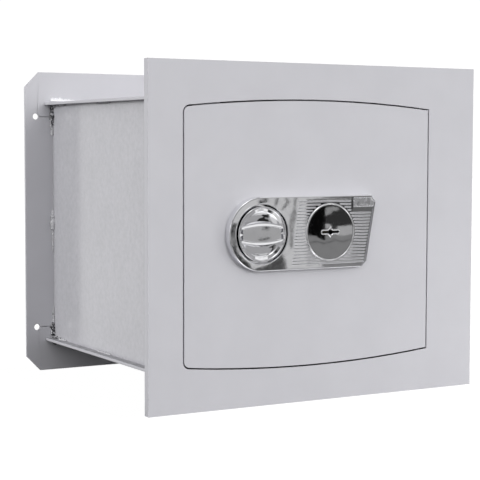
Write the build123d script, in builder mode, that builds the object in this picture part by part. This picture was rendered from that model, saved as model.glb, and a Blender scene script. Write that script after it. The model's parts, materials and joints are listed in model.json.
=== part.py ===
from build123d import *
import os
from math import acos, cos, pi, radians, sin, sqrt, tan

# Wall safe: a welded steel body between a front frame and a rear plate, a flush door on two pins,
# a knob that drives three bolts through a rack, and a double-bit lever lock. Millimetres.
# The origin is the centre of the four anchor holes, on the rear plate's back face. Seen from the front,
# +X runs to the right, +Y runs into the wall and +Z is up.

# Body
overall_depth = 316.0  # from the frame's front face to the rear plate's back face
frame_width = 388.0
frame_height = 340.0
frame_thickness = 8.0
sheet = 3.0  # body panels and rear plate
body_width = 321.0  # over the side panels
body_height = 272.0  # over the top and bottom panels
panel_overhang = 10.0  # top and bottom panels beyond the side panels
rear_corner_cut = 17.0
anchor_spacing_x = 362.0
anchor_spacing_z = 240.0
anchor_hole_radius = 3.5
weld_leg = 3.0
rear_weld_spans = [(-128.0, -92.0), (-20.0, 30.0), (88.0, 128.0)]  # heights
side_weld_spans = [(-276.0, -232.0), (-170.0, -120.0), (-40.0, -8.0)]  # places along Y

# Door opening, and the door in it
opening_left = -157.0
opening_right = 135.0
opening_crown = 134.1  # half height at the middle
crown_radius = 1400.0
opening_corner_radius = 7.5
door_gap = 1.5
stop_gap = 0.3
stop_depth = 6.0
stop_height = 13.0
stop_left = -142.0
stop_right = -112.0

# Hinge pins, upright in the middle of the plate's thickness
hinge_x = 124.5
pin_radius = 2.5
pin_running_gap = 0.05
pin_length = 25.0
pin_in_door = 12.0
pin_end_gap = 0.1

# Pocket outside the left side panel that the bolts enter
pocket_sheet = 2.0
pocket_left = -178.0
pocket_depth = 26.0
pocket_half_height = 100.0

# Knob, keyhole and escutcheon
lock_z = 1.5
knob_x = -74.0
key_x = 6.0
escutcheon_thickness = 9.0
escutcheon_half_height = 36.75
escutcheon_edge_bevel = 0.6
escutcheon_top_end = 56.3  # where the straight top edge ends
escutcheon_upper_corner = (61.7, 31.0)
escutcheon_lower_corner = (50.8, -29.2)
escutcheon_bottom_end = 44.3  # where the straight bottom edge ends
knob_radius = 27.4
knob_well_radius = 28.8
knob_well_floor = 1.0
knob_back_gap = 0.5
knob_front = 10.0  # beyond the door's face
spindle_recess = 2.5  # the knob's skin over the spindle's end
scoop_radius = 24.5
scoop_depth = 7.0
grip_half_length = 26.0
grip_middle_half_height = 9.5
grip_end_half_height = 6.0
disc_radius = 27.3
disc_seat = 5.0  # from the door's face
disc_thickness = 4.0
ring_radius = 29.2
ring_thickness = 4.6
ring_edge_radius = 0.6
keyhole_length = 20.4
keyhole_width = 2.4
keyhole_eye_radius = 2.75
rib_pitch = 3.1
rib_count = 21
rib_width = 1.7
rib_height = 0.7
rib_field_margin = 2.2
rib_end_gap = 1.0
rib_ring_gap = 0.8
smooth_end_top = (-30.5, 50.0)  # the edge between the smooth knob end and the ribs
smooth_end_bottom = (-42.5, -50.0)
badge_thickness = 0.6
badge_corners = [(33.6, 36.0), (55.6, 36.0), (59.3, 31.2), (58.4, 26.0), (33.6, 26.0)]
badge_corner_radius = 1.5
badge_clearing_middle = (47.5, 31.5)  # the flat area round the badge
badge_clearing_size = (30.0, 15.0)

# Boltwork, with depths measured from the door's back
bolt_radius = 7.5
bolt_depth = 8.7
bolt_spacing = 70.0
bolt_tip = -153.0
bolt_length = 36.0
bolt_tip_bevel = 1.5
bolt_running_gap = 0.08
bolt_notch_gap = 1.2
spigot_radius = 4.0
carrier_near = 12.0
carrier_far = 16.0
carrier_flange = 4.0
carrier_flange_near = 3.5
carrier_half_height = 82.0
spine_width = 18.0
upper_arm_bottom = 40.0
upper_arm_top = 60.0
upper_arm_right = 72.0
lower_arm_bottom = -30.0
lower_arm_right = -40.0
notch_side_gap = 0.8
notch_top_gap = 1.0
rack_teeth_left = 2  # of the knob's centre
rack_teeth_right = 5
gear_module = 2.0
pinion_teeth = 12
pressure_angle = radians(25)
tooth_addendum = 0.8 * gear_module
tooth_dedendum = 1.0 * gear_module
tooth_backlash = 0.12
tooth_root_overlap = 0.5
spindle_radius = 6.0
spindle_square = 8.0
spindle_shoulder_radius = 8.0
spindle_end_gap = 0.3
spindle_thread_depth = 4.0  # in front of the pinion
spindle_screw_grip = 3.0
washer_thickness = 1.2
bush_radius = 8.0
bush_flange_radius = 11.0
bush_flange = 2.0
stud_radius = 3.0
stud_shoulder_radius = 5.0
stud_length = 20.0
stud_gap = 0.1
clip_thickness = 1.0
clip_rim = 0.5
guide_studs_at = [(-70.0, 50.0), (45.0, 50.0), (-93.0, -21.5)]
guide_left = -147.0
guide_right = -144.0
guide_half_height = 88.0
guide_depth = 20.0
guide_foot = 3.0
guide_foot_half_height = 10.0
guide_screw_x = -133.0
guide_foot_end = 8.0  # beyond the screws

# Lever lock, with depths measured from the door's back
case_left = -24.0
case_right = 36.0
case_bottom = -34.0
case_top = 38.0
case_near = 3.0
case_far = 17.0
case_wall = 2.0
case_screw_inset = 5.0
hard_plate_margin = 3.0
key_guide_radius = 13.0
key_swing_radius = 11.0
lock_bolt_half_width = 6.0
lock_bolt_near = 5.5
lock_bolt_far = 16.5
lock_bolt_lift = 8.0
lock_bolt_gap = 0.3
tail_half_width = 17.0
tail_bottom = -26.0
tail_top = 27.5
tail_thickness = 2.5
stump_radius = 2.0
stump_z = -22.6
stump_gap = 0.5
lever_count = 5
lever_thickness = 1.4
lever_pitch = 1.6
lever_near = 8.4
lever_half_width = 19.0
lever_bottom = -28.0
lever_top = 26.5
lever_shift = 2.0
spring_strip = 0.4
spring_distance = 12.0
spring_half_height = 7.0
spring_fold = 1.0
spring_fold_radius = 0.5
spring_inset = 1.2
lever_stop_half_height = 10.0

# Mechanism cover
cover_left = -150.0
cover_right = 95.0
cover_half_height = 111.5
cover_depth = 24.0
cover_sheet = 1.5
cover_corner_radius = 3.0
pillar_radius = 4.5
pillar_inset = 11.0

# Claws on the hinge side, and screws
dog_left = 100.0
dog_step = 133.0
dog_right = 143.5
dog_thickness = 8.0
dog_frame_gap = 1.0
dog_half_height = 20.0
dog_distance = 68.0
dog_screw_x = 113.0
dog_screw_distance = 11.0
screw_radius = 2.0
screw_grip = 6.0  # length in the door
escutcheon_screw_radius = 2.5
escutcheon_screw_grip = 5.0
cover_screw_length = 12.0
slot_width = 1.0
slot_share = 0.45  # of the head's height
sink_clearance = 0.01

# Pan heads: radius and height
escutcheon_screw_head = (4.5, 3.0)
screw_head = (3.8, 2.4)
cover_screw_head = (3.8, 2.2)
lock_screw_head = (3.5, 2.2)

# Derived places
front_y = -overall_depth
door_back_y = front_y + frame_thickness
hinge_y = front_y + frame_thickness / 2
half_body_width = body_width / 2
half_body_height = body_height / 2
inner_half_width = half_body_width - sheet
inner_half_height = half_body_height - sheet
pitch_radius = gear_module * pinion_teeth / 2
bolt_travel = pitch_radius * pi / 2  # a quarter turn of the knob
bolt_heights = [lock_z - bolt_spacing, lock_z, lock_z + bolt_spacing]
flange_left = bolt_tip + bolt_length
spine_right = flange_left + spine_width
guide_screw_heights = [lock_z - bolt_spacing / 2, lock_z + bolt_spacing / 2]
dog_heights = [lock_z - dog_distance, lock_z + dog_distance]
escutcheon_screws_at = [(-34.0, 29.5), (-34.0, -26.5), (44.5, -22.0)]
case_screws_at = [
    (x, z)
    for x in (case_left + case_screw_inset, case_right - case_screw_inset)
    for z in (case_bottom + case_screw_inset, case_top - case_screw_inset)
]
dog_screws_at = [
    (dog_screw_x, z + step) for z in dog_heights for step in (-dog_screw_distance, dog_screw_distance)
]
pillars_at = [
    (x, z)
    for x in (cover_left + pillar_inset, cover_right - pillar_inset)
    for z in (lock_z - cover_half_height + pillar_inset, lock_z + cover_half_height - pillar_inset)
]

os.makedirs("parts", exist_ok=True)


def facing(y):
    """The upright plane at this y that looks out of the front, with +X to its right and +Z up."""
    return Plane.XZ.offset(-y)


def behind_door(depth):
    """The upright plane at this depth behind the door's back face."""
    return facing(door_back_y + depth)


def flat_rectangle(x_span, z_span, mode=Mode.ADD):
    """A rectangle in a sketch between pairs of x and z."""
    with Locations(((x_span[0] + x_span[1]) / 2, (z_span[0] + z_span[1]) / 2)):
        Rectangle(x_span[1] - x_span[0], z_span[1] - z_span[0], mode=mode)


def rod(x, z, radius, near, far, mode=Mode.ADD):
    """A round bar along Y between two depths behind the door, or the hole for one."""
    with BuildSketch(behind_door(far)) as section:
        with Locations((x, z)):
            Circle(radius)
    extrude(section.sketch, amount=far - near, mode=mode)


def block(x_span, depth_span, z_span, mode=Mode.ADD):
    """A rectangular block between pairs of x, depth behind the door, and z."""
    with BuildSketch(behind_door(depth_span[1])) as section:
        flat_rectangle(x_span, z_span)
    extrude(section.sketch, amount=depth_span[1] - depth_span[0], mode=mode)


def pan_head(x, z, seat, radius, height):
    """A slotted pan head that stands on a seat behind the door."""
    slot_depth = height * slot_share
    rod(x, z, radius, seat, seat + height)
    with BuildSketch(behind_door(seat + height)) as slot:
        with Locations((x, z)):
            Rectangle(2 * radius + slot_width, slot_width)
    extrude(slot.sketch, amount=slot_depth, mode=Mode.SUBTRACT)


def countersunk_head(x, z, seat, mode=Mode.ADD):
    """A 90 degree countersunk head flush with a seat, or its countersink."""
    with BuildSketch(behind_door(seat)) as section:
        with Locations((x, z)):
            Circle(2 * screw_radius)
    extrude(section.sketch, amount=screw_radius - sink_clearance, taper=45, mode=mode)


def save(piece, name):
    """Labels a finished piece and writes it."""
    piece.part.label = name
    export_step(piece.part, f"parts/{name}.step")


# ---------------------------------------------------------------- body


def crown_height(inset, x):
    """Half the height at x of the opening's outline, drawn in by an inset all round."""
    radius = crown_radius - inset
    middle = (opening_left + opening_right) / 2
    return opening_crown - inset - radius + sqrt(radius**2 - (x - middle) ** 2)


def opening_outline(inset):
    """The opening's outline: bowed top and bottom, round corners on the lock side only."""
    left = opening_left + inset
    right = opening_right - inset
    middle = (left + right) / 2
    corner = crown_height(inset, left)
    crown = crown_height(inset, middle)
    with BuildSketch() as outline:
        with BuildLine():
            ThreePointArc((left, corner), (middle, crown), (right, corner))
            Line((right, corner), (right, -corner))
            ThreePointArc((right, -corner), (middle, -crown), (left, -corner))
            Line((left, -corner), (left, corner))
        make_face()
        fillet(outline.vertices().group_by(Axis.X)[0], opening_corner_radius - inset)
    return outline.sketch


pin_top = crown_height(0, hinge_x) - door_gap - pin_in_door + pin_length
pin_heights = [pin_top - pin_length / 2, pin_length / 2 - pin_top]

with BuildPart() as front_frame:
    with BuildSketch(facing(door_back_y)):
        Rectangle(frame_width, frame_height)
        add(opening_outline(0), mode=Mode.SUBTRACT)
    extrude(amount=frame_thickness)
    # blind holes for the hinge pins, drilled from the opening's top and bottom edges
    for z in pin_heights:
        with Locations((hinge_x, hinge_y, z)):
            Cylinder(pin_radius, pin_length, mode=Mode.SUBTRACT)
save(front_frame, "front_frame")

with BuildPart() as hinge_pins:
    for z in pin_heights:
        with Locations((hinge_x, hinge_y, z)):
            Cylinder(pin_radius, pin_length)
save(hinge_pins, "hinge_pins")

with BuildPart() as rear_plate:
    with BuildSketch(facing(0)) as flange:
        Rectangle(frame_width, frame_height)
        chamfer(flange.vertices(), rear_corner_cut)
        with GridLocations(anchor_spacing_x, anchor_spacing_z, 2, 2):
            Circle(anchor_hole_radius, mode=Mode.SUBTRACT)
    extrude(amount=sheet)
save(rear_plate, "rear_plate")

panel_depths = (0, -door_back_y - sheet)
panel_edge = half_body_width + panel_overhang
with BuildPart() as top_panel:
    block((-panel_edge, panel_edge), panel_depths, (inner_half_height, half_body_height))
save(top_panel, "top_panel")

with BuildPart() as bottom_panel:
    block((-panel_edge, panel_edge), panel_depths, (-half_body_height, -inner_half_height))
save(bottom_panel, "bottom_panel")

side_heights = (-inner_half_height, inner_half_height)
bolt_notch_half_height = bolt_radius + bolt_notch_gap
with BuildPart() as left_side_panel:
    block((-half_body_width, -inner_half_width), panel_depths, side_heights)
    # notches in the front edge for the bolts
    for z in bolt_heights:
        block(
            (-half_body_width, -inner_half_width),
            (0, bolt_depth + bolt_notch_half_height),
            (z - bolt_notch_half_height, z + bolt_notch_half_height),
            Mode.SUBTRACT,
        )
save(left_side_panel, "left_side_panel")

with BuildPart() as right_side_panel:
    block((inner_half_width, half_body_width), panel_depths, side_heights)
save(right_side_panel, "right_side_panel")

with BuildPart() as bolt_pocket:
    block(
        (pocket_left, -half_body_width),
        (0, pocket_depth),
        (lock_z - pocket_half_height, lock_z + pocket_half_height),
    )
    block(
        (pocket_left + pocket_sheet, -half_body_width),
        (0, pocket_depth - pocket_sheet),
        (lock_z - pocket_half_height + pocket_sheet, lock_z + pocket_half_height - pocket_sheet),
        Mode.SUBTRACT,
    )
save(bolt_pocket, "bolt_pocket")

# stops on the top and bottom panels, behind the door's corners on the lock side
with BuildPart() as door_stops:
    for z_low in (-inner_half_height, inner_half_height - stop_height):
        block((stop_left, stop_right), (stop_gap, stop_gap + stop_depth), (z_low, z_low + stop_height))
save(door_stops, "door_stops")


def fillet_weld(plane, corner, legs, length):
    """A three-sided bar in the corner between two plates, run along the plane's normal."""
    with BuildSketch(plane) as section:
        with BuildLine():
            Polyline(
                corner,
                (corner[0] + legs[0], corner[1]),
                (corner[0], corner[1] + legs[1]),
                close=True,
            )
        make_face()
    extrude(section.sketch, amount=length)


with BuildPart() as weld_beads:
    for side in (-1, 1):
        # side panels to the rear plate
        for start, end in rear_weld_spans:
            fillet_weld(
                Plane.XY.offset(start),
                (side * half_body_width, -sheet),
                (side * weld_leg, -weld_leg),
                end - start,
            )
        # side panels to the top and bottom panels
        for level in (-1, 1):
            for start, end in side_weld_spans:
                fillet_weld(
                    facing(end),
                    (side * half_body_width, level * inner_half_height),
                    (side * weld_leg, -level * weld_leg),
                    end - start,
                )
save(weld_beads, "weld_beads")

# ---------------------------------------------------------------- door

with BuildPart() as door_plate:
    with BuildSketch(facing(door_back_y)):
        add(opening_outline(door_gap))
    extrude(amount=frame_thickness)
    # running holes for the hinge pins
    for way in (-1, 1):
        hole_end = pin_top - pin_length - pin_end_gap
        with Locations((hinge_x, hinge_y, way * (hole_end + pin_length / 2))):
            Cylinder(pin_radius + pin_running_gap, pin_length, mode=Mode.SUBTRACT)
    rod(knob_x, lock_z, bush_radius, -frame_thickness, 0, Mode.SUBTRACT)
    rod(key_x, lock_z, key_guide_radius, -frame_thickness, 0, Mode.SUBTRACT)
    for x, z in escutcheon_screws_at:
        rod(x, z, escutcheon_screw_radius, -frame_thickness, 0, Mode.SUBTRACT)
    for x, z in case_screws_at + dog_screws_at + [(guide_screw_x, z) for z in guide_screw_heights]:
        rod(x, z, screw_radius, -screw_grip, 0, Mode.SUBTRACT)
save(door_plate, "door_plate")

escutcheon_top = lock_z + escutcheon_half_height
escutcheon_bottom = lock_z - escutcheon_half_height
escutcheon_face = -frame_thickness - escutcheon_thickness


def escutcheon_outline():
    """Half round at the knob, with a leaning edge and two small corner cuts at the key end."""
    with BuildSketch() as outline:
        with BuildLine():
            Polyline(
                (knob_x, escutcheon_top),
                (escutcheon_top_end, escutcheon_top),
                escutcheon_upper_corner,
                escutcheon_lower_corner,
                (escutcheon_bottom_end, escutcheon_bottom),
                (knob_x, escutcheon_bottom),
            )
            ThreePointArc(
                (knob_x, escutcheon_bottom),
                (knob_x - escutcheon_half_height, lock_z),
                (knob_x, escutcheon_top),
            )
        make_face()
    return outline.sketch


def rib_field(margin):
    """The ribbed area: round the key disc, from the smooth knob end to the leaning edge."""
    with BuildSketch() as field:
        add(escutcheon_outline())
        offset(amount=-margin, kind=Kind.INTERSECTION, mode=Mode.REPLACE)
        with BuildLine():
            Polyline(
                (-frame_width, smooth_end_top[1]),
                smooth_end_top,
                smooth_end_bottom,
                (-frame_width, smooth_end_bottom[1]),
                close=True,
            )
        make_face(mode=Mode.SUBTRACT)
        with Locations((key_x, lock_z)):
            Circle(ring_radius + margin - rib_field_margin + rib_ring_gap, mode=Mode.SUBTRACT)
        with Locations(badge_clearing_middle):
            Rectangle(*badge_clearing_size, mode=Mode.SUBTRACT)
    return field.sketch


with BuildPart() as escutcheon:
    with BuildSketch(behind_door(-frame_thickness)):
        add(escutcheon_outline())
    extrude(amount=escutcheon_thickness)
    chamfer(escutcheon.faces().sort_by(Axis.Y)[0].edges(), escutcheon_edge_bevel)
    # the ribs stand in a shallow recess
    with BuildSketch(behind_door(escutcheon_face)):
        add(rib_field(rib_field_margin))
    extrude(amount=-rib_height, mode=Mode.SUBTRACT)
    with BuildSketch(behind_door(escutcheon_face + rib_height)):
        with GridLocations(0, rib_pitch, 1, rib_count):
            Rectangle(2 * frame_width, rib_width)
        add(rib_field(rib_field_margin + rib_end_gap), mode=Mode.INTERSECT)
    extrude(amount=rib_height)
    # well and spindle hole for the knob
    knob_well = -frame_thickness - knob_well_floor
    rod(knob_x, lock_z, knob_well_radius, escutcheon_face, knob_well, Mode.SUBTRACT)
    rod(knob_x, lock_z, bush_radius, knob_well, -frame_thickness, Mode.SUBTRACT)
    # seat for the key disc in its ring, and the way through for the key
    disc_back = -frame_thickness - disc_seat
    rod(key_x, lock_z, ring_radius, escutcheon_face, disc_back, Mode.SUBTRACT)
    rod(key_x, lock_z, key_guide_radius, disc_back, -frame_thickness, Mode.SUBTRACT)
    for x, z in escutcheon_screws_at:
        screw_end = -frame_thickness - escutcheon_screw_grip
        rod(x, z, escutcheon_screw_radius, screw_end, -frame_thickness, Mode.SUBTRACT)
save(escutcheon, "escutcheon")

with BuildPart() as escutcheon_screws:
    for x, z in escutcheon_screws_at:
        rod(x, z, escutcheon_screw_radius, -frame_thickness - escutcheon_screw_grip, 0)
        pan_head(x, z, 0, *escutcheon_screw_head)
save(escutcheon_screws, "escutcheon_screws")

with BuildPart() as badge_plate:
    with BuildSketch(behind_door(escutcheon_face)) as badge:
        with BuildLine():
            Polyline(*badge_corners, close=True)
        make_face()
        fillet(badge.vertices(), badge_corner_radius)
    extrude(amount=badge_thickness)
save(badge_plate, "badge_plate")

with BuildPart() as key_disc_ring:
    rod(key_x, lock_z, ring_radius, disc_back - ring_thickness, disc_back)
    rod(key_x, lock_z, disc_radius, disc_back - ring_thickness, disc_back, Mode.SUBTRACT)
    fillet(key_disc_ring.faces().sort_by(Axis.Y)[0].edges(), ring_edge_radius)
save(key_disc_ring, "key_disc_ring")


def key_passage(growth, near, far):
    """Cuts the keyhole, a slot with a round eye, between two depths."""
    with BuildSketch(behind_door(far)) as section:
        with Locations((key_x, lock_z)):
            SlotOverall(keyhole_length + growth, keyhole_width + growth)
            Circle(keyhole_eye_radius + growth / 2)
    extrude(section.sketch, amount=far - near, mode=Mode.SUBTRACT)


with BuildPart() as key_disc:
    rod(key_x, lock_z, disc_radius, disc_back - disc_thickness, disc_back)
    key_passage(0, disc_back - disc_thickness, disc_back)
save(key_disc, "key_disc")

with BuildPart() as key_guide:
    rod(key_x, lock_z, key_guide_radius, disc_back, 0)
    key_passage(1, disc_back, 0)
save(key_guide, "key_guide")

with BuildPart() as hard_plate:
    block(
        (case_left - hard_plate_margin, case_right + hard_plate_margin),
        (0, case_near),
        (case_bottom - hard_plate_margin, case_top + hard_plate_margin / 2),
    )
    rod(key_x, lock_z, key_swing_radius, 0, case_near, Mode.SUBTRACT)
    for x, z in case_screws_at:
        rod(x, z, screw_radius, 0, case_near, Mode.SUBTRACT)
save(hard_plate, "hard_plate")

with BuildPart() as knob_bush:
    rod(knob_x, lock_z, bush_radius, knob_well, 0)
    rod(knob_x, lock_z, bush_flange_radius, 0, bush_flange)
    rod(knob_x, lock_z, spindle_radius + pin_running_gap, knob_well, bush_flange, Mode.SUBTRACT)
save(knob_bush, "knob_bush")

with BuildPart() as bolt_guide:
    guide_heights = (lock_z - guide_half_height, lock_z + guide_half_height)
    block((guide_left, guide_right), (0, guide_depth), guide_heights)
    for z in guide_screw_heights:
        foot_heights = (z - guide_foot_half_height, z + guide_foot_half_height)
        block((guide_right, guide_screw_x + guide_foot_end), (0, guide_foot), foot_heights)
        rod(guide_screw_x, z, screw_radius, 0, guide_foot, Mode.SUBTRACT)
        countersunk_head(guide_screw_x, z, guide_foot, Mode.SUBTRACT)
    with BuildSketch(Plane.YZ.offset(guide_left)):
        with Locations(*[(door_back_y + bolt_depth, z) for z in bolt_heights]):
            Circle(bolt_radius + bolt_running_gap)
    extrude(amount=guide_right - guide_left, mode=Mode.SUBTRACT)
save(bolt_guide, "bolt_guide")

with BuildPart() as bolt_guide_screws:
    for z in guide_screw_heights:
        rod(guide_screw_x, z, screw_radius, -screw_grip, guide_foot)
        countersunk_head(guide_screw_x, z, guide_foot)
save(bolt_guide_screws, "bolt_guide_screws")

clip_near = carrier_far + stop_gap
clip_far = clip_near + clip_thickness
with BuildPart() as guide_studs:
    for x, z in guide_studs_at:
        rod(x, z, stud_shoulder_radius, 0, carrier_near - stop_gap)
        rod(x, z, stud_radius, 0, stud_length)
save(guide_studs, "guide_studs")

with BuildPart() as guide_clips:
    for x, z in guide_studs_at:
        rod(x, z, stud_shoulder_radius + clip_rim, clip_near, clip_far)
        rod(x, z, stud_radius, clip_near, clip_far, Mode.SUBTRACT)
save(guide_clips, "guide_clips")

with BuildPart() as hinge_side_dogs:
    for z in dog_heights:
        dog_span = (z - dog_half_height, z + dog_half_height)
        block((dog_left, dog_step), (0, dog_thickness), dog_span)
        block((dog_step, dog_right), (dog_frame_gap, dog_thickness), dog_span)
    for x, z in dog_screws_at:
        rod(x, z, screw_radius, 0, dog_thickness, Mode.SUBTRACT)
save(hinge_side_dogs, "hinge_side_dogs")

with BuildPart() as dog_screws:
    for x, z in dog_screws_at:
        rod(x, z, screw_radius, -screw_grip, dog_thickness)
        pan_head(x, z, dog_thickness, *screw_head)
save(dog_screws, "dog_screws")

with BuildPart() as cover_pillars:
    for x, z in pillars_at:
        with BuildSketch(behind_door(cover_depth - cover_sheet)):
            with Locations((x, z)):
                RegularPolygon(pillar_radius, 6)
                Circle(screw_radius, mode=Mode.SUBTRACT)
        extrude(amount=cover_depth - cover_sheet)
save(cover_pillars, "cover_pillars")

with BuildPart() as mechanism_cover:
    block(
        (cover_left, cover_right),
        (0, cover_depth),
        (lock_z - cover_half_height, lock_z + cover_half_height),
    )
    fillet(mechanism_cover.edges().filter_by(Axis.Y), cover_corner_radius)
    block(
        (cover_left + cover_sheet, cover_right - cover_sheet),
        (0, cover_depth - cover_sheet),
        (lock_z - cover_half_height + cover_sheet, lock_z + cover_half_height - cover_sheet),
        Mode.SUBTRACT,
    )
    # notches in the left wall for the bolts
    for z in bolt_heights:
        block(
            (cover_left, cover_left + cover_sheet),
            (0, bolt_depth + bolt_notch_half_height),
            (z - bolt_notch_half_height, z + bolt_notch_half_height),
            Mode.SUBTRACT,
        )
    for x, z in pillars_at:
        rod(x, z, screw_radius, cover_depth - cover_sheet, cover_depth, Mode.SUBTRACT)
save(mechanism_cover, "mechanism_cover")

with BuildPart() as cover_screws:
    for x, z in pillars_at:
        rod(x, z, screw_radius, cover_depth - cover_screw_length, cover_depth)
        pan_head(x, z, cover_depth, *cover_screw_head)
save(cover_screws, "cover_screws")

# ---------------------------------------------------------------- knob and boltwork

knob_back = knob_well - knob_back_gap
knob_face = -frame_thickness - knob_front
spindle_front = knob_face + spindle_recess
with BuildPart() as knob:
    rod(knob_x, lock_z, knob_radius, knob_face, knob_back)
    # two scoops leave a lens-shaped grip between them
    with BuildSketch(behind_door(knob_face)):
        with Locations((knob_x, lock_z)):
            Circle(scoop_radius)
        with BuildLine():
            for way in (-1, 1):
                ThreePointArc(
                    (knob_x - grip_half_length, lock_z + way * grip_end_half_height),
                    (knob_x, lock_z + way * grip_middle_half_height),
                    (knob_x + grip_half_length, lock_z + way * grip_end_half_height),
                )
            for end in (-grip_half_length, grip_half_length):
                Line(
                    (knob_x + end, lock_z - grip_end_half_height),
                    (knob_x + end, lock_z + grip_end_half_height),
                )
        make_face(mode=Mode.SUBTRACT)
    extrude(amount=-scoop_depth, mode=Mode.SUBTRACT)
    rod(knob_x, lock_z, spindle_radius, spindle_front, knob_back, Mode.SUBTRACT)
save(knob, "knob")

with BuildPart() as spindle:
    rod(knob_x, lock_z, spindle_radius, spindle_front, bush_flange + spindle_end_gap)
    rod(knob_x, lock_z, spindle_shoulder_radius, bush_flange + spindle_end_gap, carrier_near)
    with BuildSketch(behind_door(carrier_far)):
        with Locations((knob_x, lock_z)):
            Rectangle(spindle_square, spindle_square)
    extrude(amount=carrier_far - carrier_near)
    rod(knob_x, lock_z, screw_radius, carrier_near - spindle_thread_depth, carrier_far, Mode.SUBTRACT)
save(spindle, "spindle")


def tooth_half_angle(radius):
    """Half the angle that an involute pinion tooth spans at this radius."""
    base = pitch_radius * cos(pressure_angle)
    local = acos(min(1.0, base / radius))
    spread = tan(pressure_angle) - pressure_angle - (tan(local) - local)
    return pi / (2 * pinion_teeth) - tooth_backlash / pitch_radius + spread


def flank_point(radius, side):
    angle = side * tooth_half_angle(radius)
    return (radius * cos(angle), radius * sin(angle))


def pinion_tooth():
    """One tooth that points along +X, from inside the root circle to its tip."""
    base = pitch_radius * cos(pressure_angle)
    tip = pitch_radius + tooth_addendum
    foot = pitch_radius - tooth_dedendum - tooth_root_overlap
    foot_half = foot * sin(tooth_half_angle(base))
    with BuildSketch() as tooth:
        with BuildLine():
            for side in (-1, 1):
                ThreePointArc(
                    flank_point(base, side),
                    flank_point((base + tip) / 2, side),
                    flank_point(tip, side),
                )
                Line((foot, side * foot_half), flank_point(base, side))
            ThreePointArc(flank_point(tip, -1), (tip, 0), flank_point(tip, 1))
            Line((foot, -foot_half), (foot, foot_half))
        make_face()
    return tooth.sketch


with BuildPart() as pinion:
    with BuildSketch(behind_door(carrier_far)):
        with Locations((knob_x, lock_z)):
            Circle(pitch_radius - tooth_dedendum)
            with PolarLocations(0, pinion_teeth, start_angle=-90):
                add(pinion_tooth())
            Rectangle(spindle_square, spindle_square, mode=Mode.SUBTRACT)
    extrude(amount=carrier_far - carrier_near)
save(pinion, "pinion")

washer_far = carrier_far + washer_thickness
with BuildPart() as spindle_screw:
    rod(knob_x, lock_z, screw_radius, carrier_near - spindle_screw_grip, carrier_far)
    rod(knob_x, lock_z, spindle_shoulder_radius, carrier_far, washer_far)
    pan_head(knob_x, lock_z, washer_far, *screw_head)
save(spindle_screw, "spindle_screw")

with BuildPart() as locking_bolts:
    for z in bolt_heights:
        with BuildSketch(Plane.YZ.offset(bolt_tip)):
            with Locations((door_back_y + bolt_depth, z)):
                Circle(bolt_radius)
        extrude(amount=bolt_length)
    chamfer(locking_bolts.edges().filter_by(GeomType.CIRCLE).group_by(Axis.X)[0], bolt_tip_bevel)
    # spigots riveted into the carrier's flange
    with BuildSketch(Plane.YZ.offset(flange_left)):
        with Locations(*[(door_back_y + bolt_depth, z) for z in bolt_heights]):
            Circle(spigot_radius)
    extrude(amount=carrier_flange)
save(locking_bolts, "locking_bolts")

rack_line = lock_z - pitch_radius
rack_root = rack_line - tooth_dedendum
rack_pitch = pi * gear_module
stud_slot_width = 2 * (stud_radius + stud_gap)
notch_half_width = lock_bolt_half_width + notch_side_gap
notch_top = case_top + lock_bolt_lift + notch_top_gap


def rack_tooth(x):
    """A straight-sided rack tooth, pointing up from the lower arm."""
    half = rack_pitch / 4 - tooth_backlash
    tip_half = half - tooth_addendum * tan(pressure_angle)
    root_half = half + tooth_dedendum * tan(pressure_angle)
    with BuildLine() as outline:
        Polyline(
            (x - root_half, rack_root),
            (x - tip_half, rack_line + tooth_addendum),
            (x + tip_half, rack_line + tooth_addendum),
            (x + root_half, rack_root),
            close=True,
        )
    make_face(outline.edges())


with BuildPart() as bolt_carrier:
    with BuildSketch(behind_door(carrier_far)):
        spine_heights = (lock_z - carrier_half_height, lock_z + carrier_half_height)
        flat_rectangle((flange_left, spine_right), spine_heights)
        flat_rectangle((spine_right, upper_arm_right), (upper_arm_bottom, upper_arm_top))
        flat_rectangle((spine_right, lower_arm_right), (lower_arm_bottom, rack_root))
        # a gap of the rack faces the pinion's lowest tooth
        for step in range(-rack_teeth_left, rack_teeth_right):
            rack_tooth(knob_x + (step + 0.5) * rack_pitch)
        # the lock bolt's notches for the drawn and the thrown position
        for x in (key_x, key_x + bolt_travel):
            notch_span = (x - notch_half_width, x + notch_half_width)
            flat_rectangle(notch_span, (upper_arm_bottom, notch_top), Mode.SUBTRACT)
        for x, z in guide_studs_at:
            with Locations((x + bolt_travel / 2, z)):
                SlotOverall(bolt_travel + stud_slot_width, stud_slot_width, mode=Mode.SUBTRACT)
    extrude(amount=carrier_far - carrier_near)
    block((flange_left, flange_left + carrier_flange), (carrier_flange_near, carrier_near), spine_heights)
    with BuildSketch(Plane.YZ.offset(flange_left)):
        with Locations(*[(door_back_y + bolt_depth, z) for z in bolt_heights]):
            Circle(spigot_radius)
    extrude(amount=carrier_flange, mode=Mode.SUBTRACT)
save(bolt_carrier, "bolt_carrier")

# ---------------------------------------------------------------- lever lock

lock_bolt_left = key_x - lock_bolt_half_width
lock_bolt_right = key_x + lock_bolt_half_width
lever_stop = key_x + lever_half_width + stop_gap
stop_heights = (-lever_stop_half_height, lever_stop_half_height)

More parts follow.
